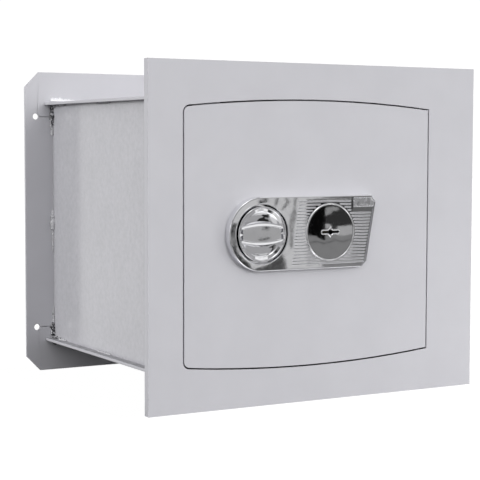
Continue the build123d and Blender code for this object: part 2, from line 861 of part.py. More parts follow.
with BuildPart() as lock_case:
    block((case_left, case_right), (case_near, case_far), (case_bottom, case_top))
    block(
        (case_left + case_wall, case_right - case_wall),
        (case_near + case_wall, case_far),
        (case_bottom + case_wall, case_top - case_wall),
        Mode.SUBTRACT,
    )
    # a rib that the levers rest against
    block((lever_stop, lever_stop + case_wall), (case_near + case_wall, case_far), stop_heights)
    # the lock bolt's way out of the top
    block(
        (lock_bolt_left - lock_bolt_gap, lock_bolt_right + lock_bolt_gap),
        (lock_bolt_near - lock_bolt_gap, case_far),
        (case_top - case_wall, case_top),
        Mode.SUBTRACT,
    )
    rod(key_x, lock_z, key_swing_radius, case_near, case_near + case_wall, Mode.SUBTRACT)
    for x, z in case_screws_at:
        rod(x, z, screw_radius, case_near, case_near + case_wall, Mode.SUBTRACT)
save(lock_case, "lock_case")

cover_plate_far = case_far + case_wall
with BuildPart() as lock_cover:
    block((case_left, case_right), (case_far, cover_plate_far), (case_bottom, case_top))
    for x, z in case_screws_at:
        rod(x, z, screw_radius, case_far, cover_plate_far, Mode.SUBTRACT)
save(lock_cover, "lock_cover")

with BuildPart() as lock_screws:
    for x, z in case_screws_at:
        rod(x, z, screw_radius, -screw_grip, cover_plate_far)
        pan_head(x, z, cover_plate_far, *lock_screw_head)
save(lock_screws, "lock_screws")

with BuildPart() as lock_bolt:
    with BuildSketch(behind_door(lock_bolt_near + tail_thickness)):
        flat_rectangle((key_x - tail_half_width, key_x + tail_half_width), (tail_bottom, tail_top))
        # the key turns through the tail, also when it is raised
        with Locations((key_x, lock_z - lock_bolt_lift / 2)):
            SlotOverall(
                2 * key_swing_radius + lock_bolt_lift + 1,
                2 * key_swing_radius + 1,
                rotation=90,
                mode=Mode.SUBTRACT,
            )
    extrude(amount=tail_thickness)
    block((lock_bolt_left, lock_bolt_right), (lock_bolt_near, lock_bolt_far), (tail_top, case_top))
    rod(key_x, stump_z, stump_radius, lock_bolt_near + tail_thickness, lock_bolt_far)
save(lock_bolt, "lock_bolt")

with BuildPart() as levers:
    for step in range(lever_count):
        near = lever_near + step * lever_pitch
        with BuildSketch(behind_door(near + lever_thickness)):
            lever_span = (key_x - lever_half_width, key_x + lever_half_width)
            flat_rectangle(lever_span, (lever_bottom, lever_top))
            with Locations((key_x + lever_shift / 2, lock_z)):
                SlotOverall(
                    2 * key_swing_radius + lever_shift,
                    2 * key_swing_radius,
                    mode=Mode.SUBTRACT,
                )
            # window for the lock bolt's stump
            flat_rectangle(
                (key_x - stump_radius - stump_gap, key_x + stump_radius + lever_shift + stump_gap),
                (stump_z - stump_radius - stump_gap, stump_z + stump_radius + lock_bolt_lift + lock_bolt_gap),
                Mode.SUBTRACT,
            )
        extrude(amount=lever_thickness)
save(levers, "levers")

spring_left = case_left + case_wall + spring_strip
spring_right = key_x - lever_half_width - spring_strip
with BuildPart() as lever_springs:
    for z in (-spring_distance, spring_distance):
        # a folded strip between the case wall and the levers
        with BuildSketch(behind_door(lever_near + lever_count * lever_pitch)):
            with BuildLine():
                FilletPolyline(
                    (spring_left, z - spring_half_height),
                    (spring_right - spring_inset, z - spring_fold),
                    (spring_left + spring_inset, z + spring_fold),
                    (spring_right, z + spring_half_height),
                    radius=spring_fold_radius,
                )
            trace(line_width=spring_strip)
        extrude(amount=lever_count * lever_pitch)
save(lever_springs, "lever_springs")
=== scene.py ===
import bpy
import bmesh
import json
import math
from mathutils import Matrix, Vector, noise


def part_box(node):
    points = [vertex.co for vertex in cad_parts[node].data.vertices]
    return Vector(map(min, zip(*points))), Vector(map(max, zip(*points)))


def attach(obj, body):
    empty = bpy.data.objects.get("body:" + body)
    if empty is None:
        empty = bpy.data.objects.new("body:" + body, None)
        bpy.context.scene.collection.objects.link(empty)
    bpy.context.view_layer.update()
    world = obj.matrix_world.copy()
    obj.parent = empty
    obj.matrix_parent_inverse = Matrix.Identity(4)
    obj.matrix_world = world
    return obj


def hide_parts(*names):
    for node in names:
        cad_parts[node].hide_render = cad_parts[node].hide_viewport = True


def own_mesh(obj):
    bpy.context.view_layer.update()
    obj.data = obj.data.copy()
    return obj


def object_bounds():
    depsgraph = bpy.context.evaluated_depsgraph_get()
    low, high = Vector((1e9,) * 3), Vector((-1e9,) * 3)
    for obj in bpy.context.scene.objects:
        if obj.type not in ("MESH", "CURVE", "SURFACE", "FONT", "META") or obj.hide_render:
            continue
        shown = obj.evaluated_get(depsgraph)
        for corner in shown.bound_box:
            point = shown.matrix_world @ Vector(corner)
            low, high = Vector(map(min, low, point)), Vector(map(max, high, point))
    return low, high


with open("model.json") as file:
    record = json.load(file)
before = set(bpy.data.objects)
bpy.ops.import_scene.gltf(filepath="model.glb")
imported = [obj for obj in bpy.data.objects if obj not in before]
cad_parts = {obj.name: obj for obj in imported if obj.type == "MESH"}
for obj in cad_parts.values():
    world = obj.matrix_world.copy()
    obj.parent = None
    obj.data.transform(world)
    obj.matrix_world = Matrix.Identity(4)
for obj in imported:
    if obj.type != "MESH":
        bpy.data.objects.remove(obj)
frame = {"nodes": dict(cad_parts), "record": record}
cad_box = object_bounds()
nodes = frame["nodes"]
MM = 0.001


def middle(node):
    """The middle of a CAD node's box."""
    low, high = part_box(node)
    return (low + high) / 2


# ---------------------------------------------------------------- camera

camera_data = bpy.data.cameras.new("camera")
camera_data.lens = 106.45
camera_data.sensor_width = 36
camera_data.clip_start = 0.05
camera_data.clip_end = 60
camera = bpy.data.objects.new("camera", camera_data)
camera.location = (-0.78439, -1.51568, 0.09118)
camera.rotation_euler = (math.radians(86.069), math.radians(-0.142), math.radians(-29.908))
bpy.context.scene.collection.objects.link(camera)
bpy.context.scene.camera = camera
bpy.context.scene.view_settings.view_transform = "Standard"

# ---------------------------------------------------------------- node helpers


def connect(tree, target, inputs):
    """Fills a node's inputs: one that is given as a socket is linked, and any other value is set."""
    for socket, value in dict(inputs).items():
        if isinstance(value, bpy.types.NodeSocket):
            tree.links.new(value, target.inputs[socket])
        else:
            target.inputs[socket].default_value = value


def add(tree, kind, inputs=(), **settings):
    """A new node of this kind, with its settings made and its inputs filled."""
    made = tree.nodes.new("ShaderNode" + kind)
    for setting, value in settings.items():
        setattr(made, setting, value)
    connect(tree, made, inputs)
    return made


def maths(tree, operation, *values):
    """The result of a Math node."""
    return add(tree, "Math", enumerate(values), operation=operation).outputs[0]


def mixed(tree, share, first, second, **settings):
    """A colour between two others, by a share from 0 to 1."""
    inputs = {"Factor": share, "A": first, "B": second}
    return add(tree, "Mix", inputs, data_type="RGBA", **settings).outputs["Result"]


def ranged(tree, value, low, high, start=0.35, end=0.65):
    """A value that runs from low to high while the given one runs from start to end."""
    inputs = {"Value": value, "From Min": start, "From Max": end, "To Min": low, "To Max": high}
    return add(tree, "MapRange", inputs).outputs["Result"]


def tinted(tree, value, dark, light, start=0.35, end=0.65):
    """A colour that runs from dark to light with a pattern."""
    return mixed(tree, ranged(tree, value, 0, 1, start, end), (*dark, 1), (*light, 1))


def limited(tree, amount, limits):
    """An amount that fades at limits. Each is a value, where nothing is left and where all of it is."""
    for value, none_left, all_left in limits:
        amount = maths(tree, "MULTIPLY", amount, ranged(tree, value, 0, 1, none_left, all_left))
    return amount


def axes(tree, kind="Object"):
    """The x, y and z of the place on the piece, or of the direction that it faces there."""
    place = add(tree, "TexCoord").outputs[kind]
    return add(tree, "SeparateXYZ", {"Vector": place}).outputs


def noise_at(tree, scale, detail=3.0, rough=0.5, stretch=(1, 1, 1), offset=0.0):
    """A noise pattern fixed to the piece, with a scale in cycles per metre."""
    place = add(tree, "TexCoord").outputs["Object"]
    moved = add(tree, "Mapping", {"Vector": place, "Scale": stretch, "Location": (offset, offset, offset)})
    inputs = {"Vector": moved.outputs["Vector"], "Scale": scale, "Detail": detail, "Roughness": rough}
    return add(tree, "TexNoise", inputs).outputs["Fac"]


def bumped(tree, surface, *layers):
    """Bump from pairs of a pattern and its height in metres, one on the other."""
    below = {}
    for pattern, height in layers:
        bump = add(tree, "Bump", {"Height": pattern, "Distance": height, "Strength": 1.0, **below})
        below = {"Normal": bump.outputs["Normal"]}
    connect(tree, surface, below)


def shader(name):
    """A new material with its node tree and its principled shader."""
    made = bpy.data.materials.new(name)
    made.use_nodes = True
    return made, made.node_tree, made.node_tree.nodes["Principled BSDF"]


# ---------------------------------------------------------------- materials


def ledge_painted_shade(tree, clean):
    """Painted shade: darkens a colour in clouds on the ledge outside each side panel."""
    at = axes(tree)
    across = maths(tree, "ABSOLUTE", at["X"])
    limits = (
        (across, 0.1600, 0.1612),
        (across, 0.1702, 0.1694),
        (at["Z"], -0.1336, -0.1332),
        (at["Z"], -0.1322, -0.1328),
        (at["Y"], -0.0032, -0.0036),
        (at["Y"], -0.3079, -0.3075),
    )
    clouds = ranged(tree, noise_at(tree, 120, 3, 0.6), 0.45, 0.85)
    return mixed(tree, limited(tree, clouds, limits), clean, (0.2, 0.2, 0.21, 1))


def gap_painted_shade(tree, clean):
    """Painted shade: darkens the level faces in the gap under the door."""
    at = axes(tree)
    level = ranged(tree, maths(tree, "ABSOLUTE", axes(tree, "Normal")["Z"]), 0, 1, 0.6, 0.8)
    limits = (
        (at["Z"], -0.104, -0.108),
        (at["Z"], -0.150, -0.146),
        (at["Y"], -0.3060, -0.3070),
        (maths(tree, "ABSOLUTE", at["X"]), 0.160, 0.158),
    )
    return mixed(tree, limited(tree, level, limits), clean, (0.02, 0.02, 0.022, 1))


def paint(name, colour, roughness, specular, cloud, marks=()):
    """Powder coat on steel: a fine orange peel and faint clouds, with any painted shade laid over its colour.
    """
    made, tree, surface = shader(name)
    peel = 0.000012
    clouds = noise_at(tree, 22, 4, 0.6)
    low = [c * (1 - cloud * 2.2) for c in colour]
    high = [min(1.0, c * (1 + cloud * 2.2)) for c in colour]
    coloured = tinted(tree, clouds, low, high)
    for mark in marks:
        coloured = mark(tree, coloured)
    rough = ranged(tree, clouds, roughness - 0.05, roughness + 0.05)
    connect(tree, surface, {"Base Color": coloured, "Roughness": rough, "Specular IOR Level": specular})
    bumped(tree, surface, (noise_at(tree, 1500, 2), peel), (noise_at(tree, 260, 2), peel * 2.5))
    return made


def weld_paint(name):
    """Paint run thin over a weld: glossy, with black specks of painted shade, mostly in the rear corners."""
    made, tree, surface = shader(name)
    rear_corner = (0.163, 0.004, 0.131)
    place = add(tree, "TexCoord").outputs["Object"]
    folded = add(tree, "VectorMath", {0: place}, operation="ABSOLUTE").outputs["Vector"]
    away = add(tree, "VectorMath", {0: folded, 1: rear_corner}, operation="DISTANCE").outputs["Value"]
    # painted shade: black specks stand for the dark holes at the rear corners, fewer further away from them
    less_corner_shade = ranged(tree, away, -0.16, 0.06, 0.008, 0.03)
    specks = maths(tree, "ADD", noise_at(tree, 360, 3, 0.6), less_corner_shade)
    corner_painted_shade = tinted(tree, specks, (0.03, 0.03, 0.035), (0.56, 0.56, 0.58), 0.37, 0.43)
    # painted highlight: the thick runs on the top panel are painted near white
    top_painted_highlight = ranged(tree, axes(tree)["Z"], 0, 1, 0.1365, 0.1375)
    coloured = mixed(tree, top_painted_highlight, corner_painted_shade, (0.92, 0.92, 0.94, 1))
    connect(tree, surface, {"Base Color": coloured, "Roughness": 0.22, "Specular IOR Level": 0.9})
    bumped(tree, surface, (noise_at(tree, 900, 3), 0.00012))
    return made


def mottled_sheet(name, colour):
    """Glossier paint on rolled sheet, with a fine mottle in its colour and its gloss."""
    made, tree, surface = shader(name)
    fine = noise_at(tree, 210, 4, 0.65)
    broad = noise_at(tree, 40, 2, 0.5, (1, 1, 0.5), 3.0)
    tone = maths(tree, "MULTIPLY_ADD", fine, 0.75, maths(tree, "MULTIPLY", broad, 0.25))
    coloured = tinted(tree, tone, [c * 0.93 for c in colour], [c * 1.07 for c in colour])
    connect(tree, surface, {"Base Color": coloured, "Roughness": ranged(tree, tone, 0.1, 0.2), "IOR": 1.55})
    bumped(tree, surface, (noise_at(tree, 700, 2), 0.000008), (noise_at(tree, 120, 2), 0.00002))
    return made


def chrome(name, colour, roughness, wave=0.0):
    """Polished plating with fine pits. wave is the height of its slow unevenness, in metres."""
    made, tree, surface = shader(name)
    coloured = tinted(tree, noise_at(tree, 90, 2), [c * 0.96 for c in colour], colour)
    rough = ranged(tree, noise_at(tree, 240, 3), roughness * 0.6, roughness * 1.5)
    connect(tree, surface, {"Base Color": coloured, "Roughness": rough, "Metallic": 1.0})
    layers = [(noise_at(tree, 900, 2), 0.0000015)]
    if wave:
        layers.append((noise_at(tree, 38, 1, 0.3), wave))
    bumped(tree, surface, *layers)
    return made


def bare_metal(name, colour, roughness, spread, stretch=(1, 1, 1)):
    """Plated or machined metal, with its tool marks or zinc bloom."""
    made, tree, surface = shader(name)
    scale = 220
    bloom = noise_at(tree, scale, 4, 0.6, stretch)
    low = [c * (1 - spread) for c in colour]
    high = [min(1.0, c * (1 + spread)) for c in colour]
    rough = ranged(tree, bloom, roughness - 0.06, roughness + 0.08)
    coloured = tinted(tree, bloom, low, high)
    connect(tree, surface, {"Base Color": coloured, "Roughness": rough, "Metallic": 1.0})
    bumped(tree, surface, (noise_at(tree, scale * 4, 3, 0.5, stretch), 0.00001))
    return made


grey = (0.565, 0.562, 0.592)
looks = {}
for name, make, *settings in (
    # painted shade: the frame's paint is darkened on the ledges and in the gap under the door, the door's
    # paint in that gap
    ("frame_paint", paint, grey, 0.42, 0.45, 0.006, (ledge_painted_shade, gap_painted_shade)),
    ("door_paint", paint, grey, 0.42, 0.45, 0.006, (gap_painted_shade,)),
    ("body_sheet", mottled_sheet, (0.52, 0.518, 0.545)),
    ("cover_paint", paint, (0.46, 0.46, 0.48), 0.45, 0.4, 0.02),
    ("weld_metal", weld_paint),
    ("escutcheon_chrome", chrome, (0.87, 0.87, 0.89), 0.03, 0.00004),
    ("badge_metal", chrome, (0.74, 0.74, 0.76), 0.2),
    ("ring_chrome", chrome, (0.92, 0.92, 0.93), 0.04),
    ("disc_mirror", chrome, (0.55, 0.55, 0.56), 0.02),
    ("knob_chrome", chrome, (0.88, 0.88, 0.9), 0.03),
    ("hinge_steel", bare_metal, (0.12, 0.12, 0.13), 0.45, 0.08, (1, 1, 12)),
    ("bolt_steel", bare_metal, (0.72, 0.72, 0.73), 0.24, 0.06, (10, 1, 1)),
    ("plain_steel", bare_metal, (0.6, 0.61, 0.63), 0.38, 0.12),
    ("lock_sheet", bare_metal, (0.66, 0.66, 0.62), 0.36, 0.14),
    ("zinc_fixings", bare_metal, (0.7, 0.7, 0.71), 0.3, 0.1),
    ("hardened_steel", bare_metal, (0.12, 0.12, 0.13), 0.5, 0.2),
    ("spring_steel", bare_metal, (0.34, 0.34, 0.37), 0.32, 0.1, (1, 1, 6)),
    ("brass_parts", bare_metal, (0.5, 0.39, 0.2), 0.36, 0.1, (1, 6, 1)),
):
    looks[name] = make(name, *settings)
for row in frame["record"]["subparts"]:
    mesh = nodes[row["node"]].data
    mesh.materials.clear()
    mesh.materials.append(looks[row["material_slot"]])


def softened(node, width):
    """Rounds a CAD node's sharp edges a little, as paint does."""
    # the CAD's faces don't share their corners, so they are joined first
    whole = nodes[node].modifiers.new("whole", "WELD")
    whole.merge_threshold = 1e-6
    edges = nodes[node].modifiers.new("edges", "BEVEL")
    edges.width = width
    edges.segments = 2
    edges.limit_method = "ANGLE"
    edges.angle_limit = math.radians(50)
    edges.harden_normals = False
    # keeps large flat faces flat in the shading, though thin lines still show beside the rear plate's holes
    evened = nodes[node].modifiers.new("evened", "WEIGHTED_NORMAL")
    evened.weight = 100


# ---------------------------------------------------------------- mesh helpers


def piece(name, mesh, body, slot, *replaced):
    """Places a finished mesh as a piece of the object."""
    made = bpy.data.objects.new(name, mesh)
    bpy.context.scene.collection.objects.link(made)
    mesh.materials.clear()
    mesh.materials.append(looks[slot])
    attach(made, body)
    if replaced:
        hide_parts(*replaced)
    return made


def smoothed(mesh, angle):
    """Shades a mesh smooth, except across edges sharper than this many degrees."""
    for face in mesh.polygons:
        face.use_smooth = True
    mesh.set_sharp_from_angle(angle=math.radians(angle))


def from_grid(name, rows, wrap=False, cap_start=False, cap_end=False):
    """A mesh through rows of points, each row as long as the last. wrap joins each row's ends."""
    count = len(rows[0])
    points = [p for row in rows for p in row]
    faces = []
    for r in range(len(rows) - 1):
        for c in range(count if wrap else count - 1):
            d = (c + 1) % count
            faces.append((r * count + c, r * count + d, (r + 1) * count + d, (r + 1) * count + c))
    if cap_start:
        faces.append(tuple(range(count - 1, -1, -1)))
    if cap_end:
        faces.append(tuple(range((len(rows) - 1) * count, len(rows) * count)))
    mesh = bpy.data.meshes.new(name)
    mesh.from_pydata(points, [], faces)
    return mesh


def turned_outwards(mesh):
    """Makes every face of a closed mesh look outwards."""
    work = bmesh.new()
    work.from_mesh(mesh)
    bmesh.ops.remove_doubles(work, verts=work.verts, dist=1e-7)
    bmesh.ops.recalc_face_normals(work, faces=work.faces)
    work.to_mesh(mesh)
    work.free()
    return mesh


def prism(name, outline, front, back):
    """A closed bar along Y with this outline of (x, z) points."""
    rows = [[(x, y, z) for x, z in outline] for y in (front, back)]
    return turned_outwards(from_grid(name, rows, True, True, True))


def circle_points(centre, radius, count, start=0.0, end=2 * math.pi):
    """Points round a whole circle, or from end to end of an arc."""
    full = abs(end - start - 2 * math.pi) < 1e-9
    steps = count if full else count - 1
    points = []
    for i in range(count):
        angle = start + (end - start) * i / steps
        points.append((centre[0] + radius * math.cos(angle), centre[1] + radius * math.sin(angle)))
    return points


def cut(mesh, cutter):
    """The mesh less the cutter."""
    body = bpy.data.objects.new("work_body", mesh)
    tool = bpy.data.objects.new("work_tool", cutter)
    for o in (body, tool):
        bpy.context.scene.collection.objects.link(o)
    change = body.modifiers.new("cut", "BOOLEAN")
    change.operation = "DIFFERENCE"
    change.solver = "EXACT"
    change.object = tool
    bpy.context.view_layer.update()
    made = bpy.data.meshes.new_from_object(body.evaluated_get(bpy.context.evaluated_depsgraph_get()))
    for o in (body, tool):
        bpy.data.objects.remove(o)
    return made


def joined(name, meshes):
    """One mesh out of several."""
    work = bmesh.new()
    for mesh in meshes:
        work.from_mesh(mesh)
    made = bpy.data.meshes.new(name)
    work.to_mesh(made)
    work.free()
    return made


# ---------------------------------------------------------------- escutcheon

plate_low, plate_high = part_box("escutcheon")
knob_low, knob_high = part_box("knob")
knob_centre = middle("knob")
disc_centre = middle("key_disc")
ring_low, ring_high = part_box("key_disc_ring")
badge_low, badge_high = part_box("badge_plate")
ring_radius = (ring_high.x - ring_low.x) / 2
half_height = (plate_high.z - plate_low.z) / 2
plate_mid = (plate_high.z + plate_low.z) / 2
face = plate_low.y

# the corners of the leaning right end
edge_top = (plate_high.x - 5.4 * MM, plate_high.z)
edge_upper = (plate_high.x, plate_high.z - 7.25 * MM)
edge_lower = (plate_high.x - 10.9 * MM, plate_low.z + 6.05 * MM)
edge_bottom = (plate_high.x - 17.4 * MM, plate_low.z)
corner_radius = 1.6 * MM


def rounded_corner(before, corner, after, radius, steps=6):
    """Points of a short arc that rounds a corner of an outline."""
    c = Vector(corner)
    a = (Vector(before) - c).normalized()
    b = (Vector(after) - c).normalized()
    half = a.angle(b) / 2
    centre = c + (a + b).normalized() * (radius / math.sin(half))
    start = c + a * (radius / math.tan(half)) - centre
    end = c + b * (radius / math.tan(half)) - centre
    return [tuple(centre + start.lerp(end, i / steps).normalized() * radius) for i in range(steps + 1)]


def crossing(p, d, q, e):
    """Where the line from p along d meets the line from q along e."""
    t = ((q.x - p.x) * e.y - (q.y - p.y) * e.x) / (d.x * e.y - d.y * e.x)
    return p + d * t


def inset_corners(chain, inset):
    """The corners of a chain of points walked anticlockwise, moved inwards."""
    sides = []
    for a, b in zip(chain, chain[1:]):
        d = (Vector(b) - Vector(a)).normalized()
        sides.append((Vector(a) + Vector((-d.y, d.x)) * inset, d))
    return [crossing(*sides[i], *sides[i + 1]) for i in range(len(sides) - 1)]


def plate_outline(inset=0.0):
    """The escutcheon's outline, drawn in by an inset, anticlockwise seen from the front."""
    centre = (knob_centre.x, plate_mid)
    points = circle_points(centre, half_height - inset, 72, math.pi / 2, 3 * math.pi / 2)
    low_start = (knob_centre.x, plate_low.z)
    high_end = (knob_centre.x, plate_high.z)
    chain = [low_start, edge_bottom, edge_lower, edge_upper, edge_top, high_end]
    corners = [points[-1]] + inset_corners(chain, inset) + [points[0]]
    for i in range(1, len(corners) - 1):
        points += rounded_corner(corners[i - 1], corners[i], corners[i + 1], corner_radius)
    return points


def plate_body():
    """The plate with a rounded front edge, from its face to the door."""
    bevel = 1.4 * MM
    steps = 8
    # narrow rows beside the rounding keep the flat faces flat in the shading
    flat_row = 0.08 * MM
    levels = [(bevel + flat_row, face)]
    for i in range(steps + 1):
        angle = math.pi / 2 * i / steps
        levels.append((bevel * (1 - math.sin(angle)), face + bevel * (1 - math.cos(angle))))
    levels += [(0.0, face + bevel + flat_row), (0.0, plate_high.y)]
    rows = [[(x, y, z) for x, z in plate_outline(inset)] for inset, y in levels]
    return turned_outwards(from_grid("plate_body", rows, True, True, True))


def leaning_x(z, inset=0.0):
    """Where the leaning right edge is at this height."""
    share = (z - edge_lower[1]) / (edge_upper[1] - edge_lower[1])
    return edge_lower[0] + (edge_upper[0] - edge_lower[0]) * share - inset


def smooth_x(z):
    """Where the smooth knob end stops and the ribs begin, at this height."""
    return knob_centre.x + 37.5 * MM + (z - plate_mid) * 0.12


# the ribbed recess keeps clear of the plate's edge and of the badge, and its lower right corner is cut
recess_margin = 2.2 * MM
rib_depth = 0.75 * MM
rib_bottom = plate_low.z + recess_margin
rib_top = plate_high.z - recess_margin
cut_top = rib_bottom + 4.6 * MM
clear_left = badge_low.x - 1.1 * MM
clear_bottom = badge_low.z - 2.0 * MM
recess = [
    (smooth_x(rib_bottom), rib_bottom),
    (leaning_x(cut_top, recess_margin) - 5 * MM, rib_bottom),
    (leaning_x(cut_top, recess_margin), cut_top),
    (leaning_x(clear_bottom, recess_margin), clear_bottom),
    (clear_left, clear_bottom),
    (clear_left, rib_top),
    (smooth_x(rib_top), rib_top),
]
well_radius = (knob_high.x - knob_low.x) / 2 + 1.9 * MM
plate = cut(plate_body(), prism("recess", recess, face - 2 * MM, face + rib_depth))
for name, centre, radius, count, front, back in (
    ("well", knob_centre, well_radius, 128, face - 2 * MM, plate_high.y - 1 * MM),
    ("bush_hole", knob_centre, 8 * MM, 48, face, plate_high.y + 2 * MM),
    ("seat", disc_centre, ring_radius, 128, face - 2 * MM, plate_high.y - 5 * MM),
    ("guide_hole", disc_centre, 13 * MM, 48, face, plate_high.y + 2 * MM),
):
    outline = circle_points((centre.x, centre.z), radius, count)
    plate = cut(plate, prism(name, outline, front, back))
smoothed(plate, 32)


def rib(left, right, z, floor, height, width):
    """A half-round rib with rounded ends, standing on the recess floor."""
    half = width / 2
    steps = 5
    turns = [math.pi / 2 * i / steps for i in range(steps + 1)]
    ends = [(left + half - half * math.cos(turn), math.sin(turn)) for turn in turns]
    ends += [(right - half + half * math.sin(turn), math.cos(turn)) for turn in turns]
    rows = []
    for x, share in ends:
        share = max(share, 0.06)
        row = []
        for k in range(9):
            angle = math.pi * k / 8
            row.append((x, floor - height * math.sin(angle) * share, z + half * math.cos(angle) * share))
        row.append((x, floor + 0.2 * MM, z - half * share))
        row.append((x, floor + 0.2 * MM, z + half * share))
        rows.append(row)
    return turned_outwards(from_grid("rib", rows, True, True, True))


ribs = []
rib_pitch = 3.1 * MM
rib_room = 1.2 * MM
rib_end = 3.6 * MM
for step in range(-10, 12):
    z = plate_mid + step * rib_pitch
    if z - rib_room < rib_bottom or z + rib_room > rib_top:
        continue
    left = smooth_x(z) + 0.9 * MM
    right = leaning_x(z, rib_end)
    if z < cut_top:
        right = min(right, leaning_x(cut_top, rib_end))
    if z + rib_room > clear_bottom:
        right = clear_left - 1.0 * MM
    spans = [(left, right)]
    reach = ring_radius + 0.9 * MM
    if abs(z - disc_centre.z) < reach:
        across = math.sqrt(reach**2 - (z - disc_centre.z) ** 2)
        spans = [(left, disc_centre.x - across), (disc_centre.x + across, right)]
    for a, b in spans:
        if b - a > 2.5 * MM:
            ribs.append(rib(a, b, z, face + rib_depth, rib_depth * 0.66, 1.9 * MM))
rib_mesh = joined("ribs", ribs)
smoothed(rib_mesh, 50)


def turned(name, centre, profile, count=160):
    """A closed ring turned about Y. profile holds (radius, y) points round its section."""
    rows = []
    for i in range(count):
        angle = 2 * math.pi * i / count
        rows.append([(centre.x + r * math.cos(angle), y, centre.z + r * math.sin(angle)) for r, y in profile])
    rows.append(rows[0])
    return turned_outwards(from_grid(name, rows, True))


def bulge(radius, half_width, front, back, steps=10):
    """The section of a ring with a half-round front."""
    points = []
    for i in range(steps + 1):
        angle = math.pi * i / steps
        points.append((radius - half_width * math.cos(angle), front + half_width * (1 - math.sin(angle))))
    return points + [(radius + half_width, back), (radius - half_width, back)]


collar_half = 0.55 * MM
collar_section = bulge(well_radius + collar_half, collar_half, face - 0.4 * MM, face + 1.2 * MM)
collar = turned("collar", knob_centre, collar_section)
smoothed(collar, 60)
escutcheon_mesh = joined("escutcheon_plate", [plate, rib_mesh, collar])
piece("escutcheon_plate", escutcheon_mesh, "door", "escutcheon_chrome", "escutcheon")

# ---------------------------------------------------------------- key disc and ring

disc_low, disc_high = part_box("key_disc")
disc_radius = (disc_high.x - disc_low.x) / 2 - 0.02 * MM
inner = ring_radius - 1.9 * MM
# how far out from its inner edge, and how far behind its front, the ring's round face runs
ring_face = ((0, 1.0), (0.25, 0.45), (0.6, 0.12), (0.95, 0), (1.3, 0.12), (1.62, 0.45))
ring_section = [(inner + wide * MM, ring_low.y + deep * MM) for wide, deep in ring_face]
ring_section += [(ring_radius, ring_low.y + 1.0 * MM), (ring_radius, ring_high.y), (inner, ring_high.y)]


def slot_reach(angle, half_length, half_width, eye, diamond=0.0):
    """How far the edge of a slot with a round or diamond eye is from its middle in this direction."""
    c, s = abs(math.cos(angle)), abs(math.sin(angle))
    flat = half_length - half_width
    if s * flat <= c * half_width + 1e-12:
        b = flat * c
        reach = b + math.sqrt(max(0.0, b * b - flat * flat + half_width * half_width))
    else:
        reach = half_width / s
    widest = diamond / (c + s) if diamond else eye
    return max(reach, widest)


# directions about the keyhole, closer together towards its long ends
angles = []
for quarter in range(4):
    for i in range(60):
        t = i / 60
        bent = t**1.8 if quarter % 2 == 0 else 1 - (1 - t) ** 1.8
        angles.append(math.pi / 2 * (quarter + bent))


def keyhole(half_length, half_width, eye, diamond=0.0):
    """The edge of a keyhole, as its reach in each direction. The sizes are in mm."""
    return [slot_reach(a, half_length * MM, half_width * MM, eye * MM, diamond * MM) for a in angles]


def keyhole_body(name, levels):
    """A closed body about the keyhole: each level holds its reach in each direction, and its y."""
    rows = []
    for reaches, y in levels:
        ways = zip(angles, reaches)
        rows.append([(disc_centre.x + r * math.cos(a), y, disc_centre.z + r * math.sin(a)) for a, r in ways])
    rows.append(rows[0])
    return turned_outwards(from_grid(name, rows, True))


hole_in_disc = keyhole(11.6, 2.55, 0, 5.7)
key_opening = keyhole(10.2, 1.2, 2.75)
disc_edge = [disc_radius for a in angles]
disc_front = [disc_radius - 0.15 * MM for a in angles]
disc_levels = [
    (disc_edge, disc_high.y),
    (disc_edge, disc_low.y + 0.15 * MM),
    (disc_front, disc_low.y),
    (hole_in_disc, disc_low.y),
    (hole_in_disc, disc_high.y),
]
rim_levels = [
    (hole_in_disc, disc_high.y),
    (hole_in_disc, disc_low.y - 0.1 * MM),
    (keyhole(11.45, 2.4, 0, 5.5), disc_low.y - 0.4 * MM),
    (keyhole(11.15, 2.1, 0, 5.1), disc_low.y - 0.6 * MM),
    (keyhole(10.75, 1.7, 0, 4.5), disc_low.y - 0.6 * MM),
    (keyhole(10.45, 1.4, 3.05), disc_low.y - 0.4 * MM),
    (key_opening, disc_low.y - 0.1 * MM),
    (key_opening, disc_high.y),
]
disc = keyhole_body("keyhole_disc", disc_levels)
smoothed(disc, 12)
piece("keyhole_disc", disc, "door", "disc_mirror", "key_disc")
ring = turned("disc_ring", disc_centre, ring_section)
smoothed(ring, 50)
rim = keyhole_body("keyhole_rim", rim_levels)
smoothed(rim, 35)
piece("disc_ring", joined("disc_ring", [ring, rim]), "door", "ring_chrome", "key_disc_ring")

# ---------------------------------------------------------------- badge

badge_mid = Vector((middle("badge_plate").x, middle("badge_plate").z))
badge_points = [
    (badge_low.x, badge_low.z),
    (badge_high.x - 0.9 * MM, badge_low.z),
    (badge_high.x, badge_low.z + 5.2 * MM),
    (badge_high.x - 3.7 * MM, badge_high.z),
    (badge_low.x, badge_high.z),
]
badge_outline = []
for i, corner in enumerate(badge_points):
    badge_outline += rounded_corner(badge_points[i - 1], corner, badge_points[(i + 1) % 5], 1.5 * MM)


def badge_row(inset, y):
    """The badge's outline drawn in by about this many mm."""
    wide = 1 - inset / 12
    high = 1 - inset / 5
    return [
        (badge_mid.x + (x - badge_mid.x) * wide, y, badge_mid.y + (z - badge_mid.y) * high)
        for x, z in badge_outline
    ]


# a raised edge about a sunk, blank middle
badge_edge = ((0, 0.3), (0.2, 0.05), (0.45, 0), (0.7, 0.1), (0.9, 0.35))
badge_rows = [badge_row(0, badge_high.y)]
badge_rows += [badge_row(inset, badge_low.y + deep * MM) for inset, deep in badge_edge]
badge = turned_outwards(from_grid("badge_blank", badge_rows, True, True, True))
smoothed(badge, 40)
piece("badge_blank", badge, "door", "badge_metal", "badge_plate")

# ---------------------------------------------------------------- knob

